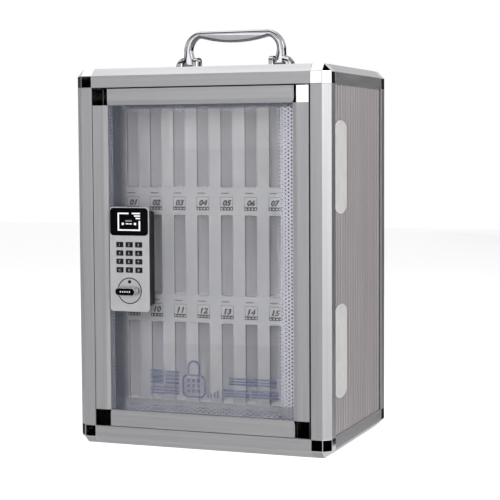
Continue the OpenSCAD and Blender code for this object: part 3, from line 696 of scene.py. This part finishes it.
web = {"pitch": 3.78, "spacing": 3.2735, "firstX": -103.5, "firstZ": 36.2, "cells": 86, "columns": 64,
       "thick": 0.04, "holeSides": 12, "pane": -100.91, "dotShare": 0.94, "dotLimit": 2.3, "dotFall": 1.2}
uprights = {      # column of holes, counted from the left: radius of its holes
    0: 0.9, 1: 1.0, 2: 1.5, 58: 1.65, 59: 1.4, 60: 1.2, 61: 1.1, 62: 1.05, 63: 0.95,
}
lowLevels = {      # level from the bottom up, half a pitch each: hole radius
    1: 1.0, 2: 1.05, 3: 1.1, 4: 1.2, 5: 1.35, 6: 1.5, 7: 1.65, 8: 1.8,
}
highLevels = [1.2, 1.35, 1.5, 1.65, 1.8]      # from the top down
edgeColumns = (0, web["columns"] - 1)      # these lie in the stiles' grooves, where the pane is shorter


def webDot(hole):      # nearly fills a small hole, and shrinks as the holes grow
    radius = min(hole * web["dotShare"], web["dotLimit"] - web["dotFall"] * hole)
    dot = addDisc("dot", (0, 0, 0), radius, web["thick"] / 2, web["holeSides"])
    return shifted(dot, 0, -web["thick"] / 2, 0)


def webCell(hole):      # a flat hexagon with a round hole in its middle
    outline = web["pitch"] / math.sqrt(3)
    deselect()
    bpy.ops.mesh.primitive_circle_add(vertices=6, radius=outline / 1000, location=(0, 0, 0))
    cell = bpy.context.object
    cell.name = "web_cell"
    editAll(cell, "EDGE")
    bpy.ops.mesh.subdivide(number_cuts=1)
    bpy.ops.mesh.primitive_circle_add(vertices=web["holeSides"], radius=hole / 1000, location=(0, 0, 0))
    bpy.ops.mesh.select_all(action="SELECT")
    bpy.ops.mesh.bridge_edge_loops()
    objectMode()
    cell.data.transform(Matrix.Rotation(math.pi / 2, 4, "X") @ Matrix.Rotation(math.pi / 6, 4, "Z"))
    return cell


runs, dots = [], []
half = web["pitch"] / 2
for column, hole in uprights.items():
    shorter = 1 if column in edgeColumns else 0
    for made, cell in ((runs, webCell(hole)), (dots, webDot(hole))):
        arrayOf(cell, web["cells"] - 2 * shorter, (0, 0, web["pitch"]))
        made.append(shifted(cell, web["firstX"] + column * web["spacing"], 0,
                            web["firstZ"] + shorter * web["pitch"] + (column % 2) * half))
innerColumns = [column for column in range(web["columns"]) if column not in uprights]
topLevel = 2 * web["cells"] - 1
levels = dict(lowLevels)
levels.update({topLevel - index: hole for index, hole in enumerate(highLevels)})
for level, hole in levels.items():
    ofLevel = [column for column in innerColumns if column % 2 == level % 2]
    for made, cell in ((runs, webCell(hole)), (dots, webDot(hole))):
        arrayOf(cell, len(ofLevel), (2 * web["spacing"], 0, 0))
        made.append(shifted(cell, web["firstX"] + ofLevel[0] * web["spacing"], 0,
                            web["firstZ"] + level * half))
border = joined("pane_border_ink", runs)
editAll(border, "VERT")
bpy.ops.mesh.remove_doubles(threshold=0.00002)
turnFacesOut()
if sum(face.normal.y for face in border.data.polygons) > 0:
    editAll(border)
    bpy.ops.mesh.flip_normals()
    objectMode()
editAll(border)
bpy.ops.mesh.extrude_region_move(TRANSFORM_OT_translate={"value": mm(0, -web["thick"], 0)})
objectMode()
shifted(border, 0, web["pane"], 0)
wear(border, thinSilverInk)
done(border, "door", "clear_pane")
dots = shifted(joined("pane_border_dots", dots), 0, web["pane"], 0)
wear(dots, dotInk)
done(dots, "door", "clear_pane")
print("pane border made,", len(border.data.polygons), "faces")


# pane: a plain print in blue ink along its foot: a padlock with keys, bars that grow, rows of plain lines

printed = {"thick": 0.04, "corner": 0.5, "rings": 6}
lineRows = [      # left, right, foot, top, lines in it
    (-58.4, -43.0, 68.0, 82.0, 4), (-40.6, -25.4, 68.0, 82.0, 4), (-58.4, -25.4, 57.2, 65.0, 3),
    (30.6, 83.0, 70.2, 77.6, 3), (22.9, 52.5, 57.6, 65.2, 3), (54.9, 85.0, 57.6, 65.2, 3),
]
lineShare = 0.62      # of a line's pitch
growing = {"first": 6.5, "step": 3.6, "width": 1.6, "foot": 55.6, "heights": (2.6, 4.4, 6.2, 8.0)}
padlock = {"body": (-21.5, 4.3, 55.0, 79.1), "round": 6.0, "line": 1.6, "loop": (6.1, 1.0), "loopTop": 94.0,
           "keys": (-16.2, 60.2), "step": 5.4, "key": 3.4, "sides": 48}


def flatMark(left, right, foot, top, back, thick, corner, rings):
    # a thin plate with round corners that faces the front, its back at this depth
    mark = addBox("mark", (left, back - thick, foot), (right, back, top))
    pickEdges(mark, lambda a, b: abs(a.y - b.y) > thick / 2)
    bpy.ops.mesh.bevel(offset=min(corner, (right - left) / 3, (top - foot) / 3) / 1000, segments=rings)
    objectMode()
    return mark


def inkBlock(left, right, foot, top, corner=printed["corner"]):
    return flatMark(left, right, foot, top, web["pane"], printed["thick"], corner, printed["rings"])


inkPieces = []
for left, right, foot, top, lines in lineRows:
    pitch = (top - foot) / (lines - 1 + lineShare)
    row = inkBlock(left, right, foot, foot + pitch * lineShare)
    inkPieces.append(arrayOf(row, lines, (0, 0, pitch)))
for index, tall in enumerate(growing["heights"]):
    left = growing["first"] + index * growing["step"]
    inkPieces.append(inkBlock(left, left + growing["width"], growing["foot"], growing["foot"] + tall))
lockBody = inkBlock(*padlock["body"], padlock["round"])
pickFaces(lockBody, lambda spot, normal: abs(normal.y) > facing)
bpy.ops.mesh.inset(thickness=padlock["line"] / 1000, use_individual=True)
bpy.ops.mesh.bridge_edge_loops()
objectMode()
inkPieces.append(lockBody)
loopRadius, loopHalf = padlock["loop"]
loopX = (padlock["body"][0] + padlock["body"][1]) / 2
loopZ = padlock["loopTop"] - loopRadius - loopHalf
deselect()
bpy.ops.mesh.primitive_circle_add(vertices=padlock["sides"], radius=(loopRadius + loopHalf) / 1000,
                                  rotation=(math.pi / 2, 0, 0))
loop = bpy.context.object
bpy.ops.object.transform_apply(location=True, rotation=True, scale=True)
editAll(loop, "EDGE")
bpy.ops.mesh.extrude_region_move()
bpy.ops.transform.resize(value=((loopRadius - loopHalf) / (loopRadius + loopHalf),) * 3,
                         center_override=(0, 0, 0))
bpy.ops.mesh.select_all(action="SELECT")
bpy.ops.mesh.bisect(plane_co=(0, 0, 0), plane_no=(0, 0, 1), clear_inner=True)
objectMode()
pickEdges(loop, lambda a, b: abs(a.z) < 0.01 and abs(b.z) < 0.01)
bpy.ops.mesh.extrude_region_move(TRANSFORM_OT_translate={"value": mm(0, 0, padlock["body"][3] - loopZ)})
bpy.ops.mesh.select_all(action="SELECT")
bpy.ops.mesh.extrude_region_move(TRANSFORM_OT_translate={"value": mm(0, printed["thick"], 0)})
turnFacesOut()
inkPieces.append(shifted(loop, loopX, web["pane"] - printed["thick"], loopZ))
dotLeft, dotFoot = padlock["keys"]
dot = inkBlock(dotLeft, dotLeft + padlock["key"], dotFoot, dotFoot + padlock["key"])
arrayOf(dot, 3, (padlock["step"], 0, 0))
arrayOf(dot, 3, (0, 0, padlock["step"]))
blueprint = joined("pane_foot_print", inkPieces + [dot])
wear(blueprint, thinBlueInk)
done(blueprint, "door", "clear_pane")
print("pane print made")


# pane: painted shade along its edges, thin dark strips side by side, each clearer than the last

paintedShade = {"front": -101.005, "thick": 0.004, "left": -105.0, "right": 103.5, "foot": 36.0, "top": 360.0}
paintedShadeSteps = {      # from the pane's edge inwards, share let through: its end at the left, at the top
    0.6: (-98.8, 359.9), 0.42: (-89.6, 356.6), 0.48: (-88.2, 356.0), 0.55: (-87.0, 355.4),
    0.63: (-85.8, 354.8), 0.72: (-84.6, 354.2), 0.82: (-83.4, 353.4),
}
footShadeStrip = {"share": 0.78, "top": 51.0}
strips = []
leftEnd, topEnd = paintedShade["left"], paintedShade["top"]
topFrom = max(reach for reach, height in paintedShadeSteps.values())
for share, (reach, height) in paintedShadeSteps.items():
    # painted shade: each step is a darker see-through strip along the left and top edges
    ink = smokeInk(share)
    for left, right, foot, top in ((leftEnd, reach, paintedShade["foot"], paintedShade["top"]),
                                   (topFrom, paintedShade["right"], height, topEnd)):
        strip = addBox("strip", (left, paintedShade["front"], foot), (right, paintedShade["front"] + paintedShade["thick"], top))
        strips.append(wear(strip, ink))
    leftEnd, topEnd = reach, height
# painted shade along the foot as well
strip = addBox("strip", (topFrom, paintedShade["front"], paintedShade["foot"]),
               (paintedShade["right"], paintedShade["front"] + paintedShade["thick"], footShadeStrip["top"]))
strips.append(wear(strip, smokeInk(footShadeStrip["share"])))
done(joined("pane_edge_painted_shade", strips), "door", "clear_pane")
print("pane edges made")


# display: a plain pictogram printed on the black acrylic, a frame of strokes around two dots and blank bars

pictogram = {"back": -113.3, "ink": 0.03, "corner": 0.35, "rings": 3, "dotSides": 24}
strokeStep = 0.004      # each stroke is this much thicker than the last, so that no two faces coincide
strokes = {      # left, right, foot, top
    "wallLeft": (-88.0, -86.3, 228.2, 247.0), "roof": (-88.0, -75.3, 245.5, 247.0),
    "foot": (-88.0, -62.2, 228.2, 229.7), "wallRight": (-64.0, -62.2, 228.2, 238.6),
    "barLong": (-71.6, -62.2, 245.5, 247.0), "barMiddle": (-69.2, -62.2, 243.0, 244.4),
    "barShort": (-67.4, -62.2, 240.4, 241.9), "dashOne": (-78.6, -75.4, 234.9, 236.0),
    "dashTwo": (-74.7, -71.6, 234.9, 236.0),
}
lights = {"places": ((-82.1, 235.4), (-68.1, 235.4)), "radius": 1.35}
greyBar = (-79.4, -71.6, 237.6, 239.4)
white = []
for index, (left, right, foot, top) in enumerate(strokes.values()):
    white.append(flatMark(left, right, foot, top, pictogram["back"], pictogram["ink"] + index * strokeStep,
                          pictogram["corner"], pictogram["rings"]))
for x, z in lights["places"]:
    white.append(addDisc("dot", (x, pictogram["back"] - pictogram["ink"] / 2, z), lights["radius"],
                         pictogram["ink"], pictogram["dotSides"]))
sign = joined("display_pictogram", white)
wear(sign, whiteInk)
left, right, foot, top = greyBar
bar = addBox("bar", (left, pictogram["back"] - pictogram["ink"], foot), (right, pictogram["back"], top))
wear(bar, greyInk)
sign = joined("display_pictogram", [sign, bar])
done(sign, "door", "black_window")
print("pictogram made")


# keypad: soft keys, each with its own plain legend

keypad = {"edge": 0.55, "rings": 3, "legendHeight": 2.7, "ink": 0.04, "weight": 0.0}
legends = {"key_clear": "C", "key_0": "0", "key_enter": "#"}
legends.update({"key_%d" % number: str(number) for number in range(1, 10)})
for partName, legend in legends.items():
    low, high = boxInMm(partName)
    key = copyOfPart("soft_" + partName, partName)
    rounded(key, keypad["edge"], keypad["rings"])
    smooth(key)
    wear(key, keySilicone)
    middle = (low + high) / 2
    words = addText("legend", legend, keypad["legendHeight"], (middle.x, low.y, middle.z), 0,
                    keypad["weight"], keypad["ink"])
    wear(words, legendInk)
    key = joined("soft_" + partName, [key, words])
    done(key, partName, "key_black", partName)
print("keys made:", len(legends))


# lock knob: satin casting, a black inlay with plain white marks in its grip, and around it a thin black ring
# as painted shade, for the shadow in the groove there

knob = {"edge": 0.55, "rings": 3, "rim": 0.3, "deep": 0.25, "centre": (-75.25, 165.6), "ring": 13.3,
        "ringWide": 0.55, "ringFlat": 0.35, "ringAt": -112.9, "marks": 5, "mark": (1.1, 1.5),
        "markThick": 0.03, "markRings": 3, "markStep": 2.6, "markFirst": -5.2,
        "level": 0.99, "near": 0.02, "ringSides": (96, 10)}
grip = copyOfPart("knob_grip", "thumb_turn")
gripFront = boxInMm("thumb_turn")[0].y
rounded(grip, knob["edge"], knob["rings"])
pickFaces(grip, lambda spot, normal: normal.y < -knob["level"] and spot.y < gripFront + knob["near"])
bpy.ops.mesh.inset(thickness=knob["rim"] / 1000)
bpy.ops.mesh.extrude_region_move(TRANSFORM_OT_translate={"value": mm(0, knob["deep"], 0)})
objectMode()
smooth(grip, 30)
wear(grip, satinNickel, blackGloss)
floorOfGrip = gripFront + knob["deep"]
paintFaces(grip, 1, lambda spot, normal: normal.y < -knob["level"]
           and abs(spot.y - floorOfGrip) < knob["near"])
x, z = knob["centre"]
wide, tall = knob["mark"]
markX = x + knob["markFirst"]
marks = flatMark(markX - wide / 2, markX + wide / 2, z - tall / 2, z + tall / 2, floorOfGrip,
                 knob["markThick"], wide / 4, knob["markRings"])
arrayOf(marks, knob["marks"], (knob["markStep"], 0, 0))
wear(marks, whiteInk)
grip = joined("knob_grip", [grip, marks])
done(grip, "latch", "bright_steel", "thumb_turn")

# painted shade: a flat black ring that stands for the shadow in the groove around the knob
deselect()
around, through = knob["ringSides"]
bpy.ops.mesh.primitive_torus_add(major_radius=knob["ring"] / 1000, minor_radius=knob["ringWide"] / 1000,
                                 major_segments=around, minor_segments=through)
ring = bpy.context.object
ring.data.transform(Matrix.Translation(mm(x, knob["ringAt"], z))
                    @ Matrix.Diagonal((1, knob["ringFlat"], 1, 1)) @ Matrix.Rotation(math.pi / 2, 4, "X"))
ring.name = "knob_groove_shade"
smooth(ring, 60)
wear(ring, blackAbs)
done(ring, "door", "silver_lock")
print("knob made")


# lock, inner side: screws with hexagon sockets, a battery lid with grip ribs

socket = {"across": 2.5, "deep": 1.0, "edge": 0.2, "columns": (-87.45, -63.05), "rows": (153.0, 178.2)}
screws = copyOfPart("socket_screws", "lock_screws")
headTop = boxInMm("lock_screws")[1].y
cutters = []
for x in socket["columns"]:
    for z in socket["rows"]:
        cutter = addDisc("cutter", (x, headTop, z), socket["across"] / math.sqrt(3), 2 * socket["deep"], 6)
        cutters.append(cutter)
cutter = joined("cutter", cutters)
applied(screws, "BOOLEAN", object=cutter, operation="DIFFERENCE", solver="EXACT")
bpy.data.objects.remove(cutter)
rounded(screws, socket["edge"], 2)
smooth(screws, 30)
wear(screws, platedSteel)
done(screws, "door", "bright_steel", "lock_screws")

lid = {"edge": 0.5, "rings": 3, "ribs": 7, "ribStep": 1.9, "rib": (14.0, 0.9), "first": 187.0,
       "proud": 0.28, "sunk": 0.1, "ribRound": 0.25}
cover = copyOfPart("battery_lid", "battery_cover")
rounded(cover, lid["edge"], lid["rings"])
smooth(cover)
lidLow, lidHigh = boxInMm("battery_cover")
middle = (lidLow.x + lidHigh.x) / 2
wide, tall = lid["rib"]
ribs = addBox("ribs", (middle - wide / 2, lidHigh.y - lid["sunk"], lid["first"]),
              (middle + wide / 2, lidHigh.y + lid["proud"], lid["first"] + tall))
rounded(ribs, lid["ribRound"], lid["rings"])
arrayOf(ribs, lid["ribs"], (0, 0, lid["ribStep"]))
smooth(ribs)
cover = joined("battery_lid", [cover, ribs])
wear(cover, blackAbs)
done(cover, "door", "black_housing", "battery_cover")
print("lock details made")


# floor, light and camera

heart = (0, -60, 200)      # what lamps and cards are turned to


def facingHeart(spot):
    return (Vector(spot) - Vector(heart)).to_track_quat("Z", "Y").to_euler()


def standAt(distance, turned, raised):
    # a place seen from the object: degrees right of its front and degrees up
    aside, lift = math.radians(turned), math.radians(raised)
    return (heart[0] + distance * math.sin(aside) * math.cos(lift),
            heart[1] - distance * math.cos(aside) * math.cos(lift),
            heart[2] + distance * math.sin(lift))


lamps = {
    # name: distance, degrees right, degrees up, width, height, radiance, whether mirrors show it
    "key": (1900, 15, 8, 280, 700, 41.0, False),
    "second": (1900, -24, 14, 500, 500, 5.0, False),
    "top": (1500, -90, 80, 1500, 1300, 0.75, True),
    "right": (1700, 72, 24, 700, 900, 6.3, False),
    "left": (1700, -75, 25, 700, 900, 0.8, False),
    "rear": (1800, -150, 35, 900, 700, 0.8, False),
}
for name, (distance, turned, raised, width, height, radiance, mirrored) in lamps.items():
    place = standAt(distance, turned, raised)
    deselect()
    bpy.ops.object.light_add(type="AREA", location=mm(*place), rotation=facingHeart(place))
    light = bpy.context.object
    light.name = "lamp_" + name
    light.data.shape = "RECTANGLE"
    light.data.size, light.data.size_y = mm(width, height)
    light.data.energy = radiance * light.data.size * light.data.size_y * math.pi
    light.visible_camera = False
    light.visible_glossy = mirrored

# cards that only mirrors see: bright ones give the chrome its flash, black ones its dark faces
cards = {
    # name: distance, degrees right, degrees up, width, height, brightness
    "card_front": (3000, -17, 7, 740, 520, 1.6),
    "card_right": (3000, 72, 3.5, 700, 900, 2.6),
    "card_right_high": (3000, 72, 24, 1200, 1300, 3.4),
    "card_middle": (2950, 8, -3.5, 500, 420, 1.7),
    "card_under": (2900, -114, -64, 1400, 1400, 0.4),
    "flag_left": (2900, -28.2, -4, 370, 1400, 0.0),
    "flag_far_left": (2900, -53, -5, 460, 1300, 0.0),
    "flag_middle": (2900, 8, 5.5, 460, 400, 0.0),
    "flag_low": (2900, -8, -15, 1900, 560, 0.0),
    "flag_right_low": (2900, 72, -15, 700, 520, 0.0),
    "flag_high_right": (2900, 104, 58, 700, 700, 0.0),
    "flag_high_left": (2900, -58, 36, 2200, 1300, 0.05),
    "flag_under": (2900, -60, -38, 2200, 1100, 0.05),
    "flag_side": (2900, -116, 0, 700, 1500, 0.05),
    "flag_rear": (3000, 150, -1.75, 5000, 1413, 0.02),
    "flag_over": (2900, -20, 40, 2400, 1500, 0.0),
    "flag_arms": (2900, -82, 4, 1300, 1000, 0.0),
}
for name, (distance, turned, raised, width, height, brightness) in cards.items():
    place = standAt(distance, turned, raised)
    deselect()
    bpy.ops.mesh.primitive_plane_add(size=1, location=mm(*place), rotation=facingHeart(place))
    card = bpy.context.object
    card.name = name
    card.scale = (width / 1000, height / 1000, 1)
    cardLook = bpy.data.materials.new(name)
    cardLook.use_nodes = True
    cardLook.node_tree.nodes.clear()
    glow = addNode(cardLook.node_tree, "ShaderNodeEmission", {"Strength": brightness})
    addNode(cardLook.node_tree, "ShaderNodeOutputMaterial", None, {"Surface": glow.outputs["Emission"]})
    wear(card, cardLook)
    card.visible_camera = card.visible_diffuse = card.visible_shadow = card.visible_transmission = False

studio = {"seen": 1.0, "fill": 0.15, "mirrored": 0.74, "floorLift": 0.75, "floorSize": 8}
world.use_nodes = True
sky = world.node_tree
sky.nodes.clear()
rays = addNode(sky, "ShaderNodeLightPath")
mirrorOrFill = addNode(sky, "ShaderNodeMix", {2: studio["fill"], 3: studio["mirrored"]},
                       {0: rays.outputs["Is Glossy Ray"]})
direct = addNode(sky, "ShaderNodeMath", {"operation": "MAXIMUM"},
                 {0: rays.outputs["Is Camera Ray"], 1: rays.outputs["Is Transmission Ray"]})
unscattered = addNode(sky, "ShaderNodeMath", {"operation": "LESS_THAN", 1: 0.5},
                      {0: rays.outputs["Diffuse Depth"]})
seen = addNode(sky, "ShaderNodeMath", {"operation": "MULTIPLY"},
               {0: direct.outputs["Value"], 1: unscattered.outputs["Value"]})
strength = addNode(sky, "ShaderNodeMix", {3: studio["seen"]},
                   {0: seen.outputs["Value"], 2: mirrorOrFill.outputs[0]})
glow = addNode(sky, "ShaderNodeBackground", {"Color": colour("#FFFFFF")}, {"Strength": strength.outputs[0]})
addNode(sky, "ShaderNodeOutputWorld", None, {"Surface": glow.outputs["Background"]})

deselect()
bpy.ops.mesh.primitive_plane_add(size=studio["floorSize"], location=(0, 0, 0))
floor = bpy.context.object
floor.name = "floor"
floorLook = surface("pale_floor", {"pale": "#F4F4F4", "dark": "#F0F0F0", "rough": (0.7, 0.8),
                                   "patch": 200.0, "grain": 6.0, "depth": 0.001})
floorTree, floorPlug, floorShade = openedUp(floorLook)
floorRays = addNode(floorTree, "ShaderNodeLightPath")
lift = addNode(floorTree, "ShaderNodeMath", {"operation": "MULTIPLY", 1: studio["floorLift"]},
               {0: floorRays.outputs["Is Camera Ray"]})
floorGlow = addNode(floorTree, "ShaderNodeEmission", {"Color": colour("#FFFFFF")},
                    {"Strength": lift.outputs["Value"]})
floorSum = addNode(floorTree, "ShaderNodeAddShader", None, {0: floorShade, 1: floorGlow.outputs["Emission"]})
floorTree.links.new(floorSum.outputs["Shader"], floorPlug)
wear(floor, floorLook)
floor.visible_glossy = False

view = {
    "place": (588.03, -1514.07, 315.43), "turn": 20.685, "tip": 3.996, "roll": -0.3276,
    "focalPixels": 1489.77, "imagePixels": 500, "sensor": 36, "clip": (0.05, 20),
}
turn, tip, roll = (math.radians(view[key]) for key in ("turn", "tip", "roll"))
forward = Vector((-math.sin(turn) * math.cos(tip), math.cos(turn) * math.cos(tip), -math.sin(tip)))
right = Vector((math.cos(turn), math.sin(turn), 0))
up = right.cross(forward)
tiltedRight = right * math.cos(roll) + up * math.sin(roll)
tiltedUp = up * math.cos(roll) - right * math.sin(roll)
deselect()
bpy.ops.object.camera_add(location=mm(*view["place"]))
camera = bpy.context.object
camera.matrix_world = Matrix.Translation(mm(*view["place"])) @ Matrix(
    (tiltedRight, tiltedUp, -forward)).transposed().to_4x4()
camera.data.sensor_width = view["sensor"]
camera.data.lens = view["sensor"] * view["focalPixels"] / view["imagePixels"]
camera.data.clip_start, camera.data.clip_end = view["clip"]
scene.camera = camera
print("floor, light and camera set")
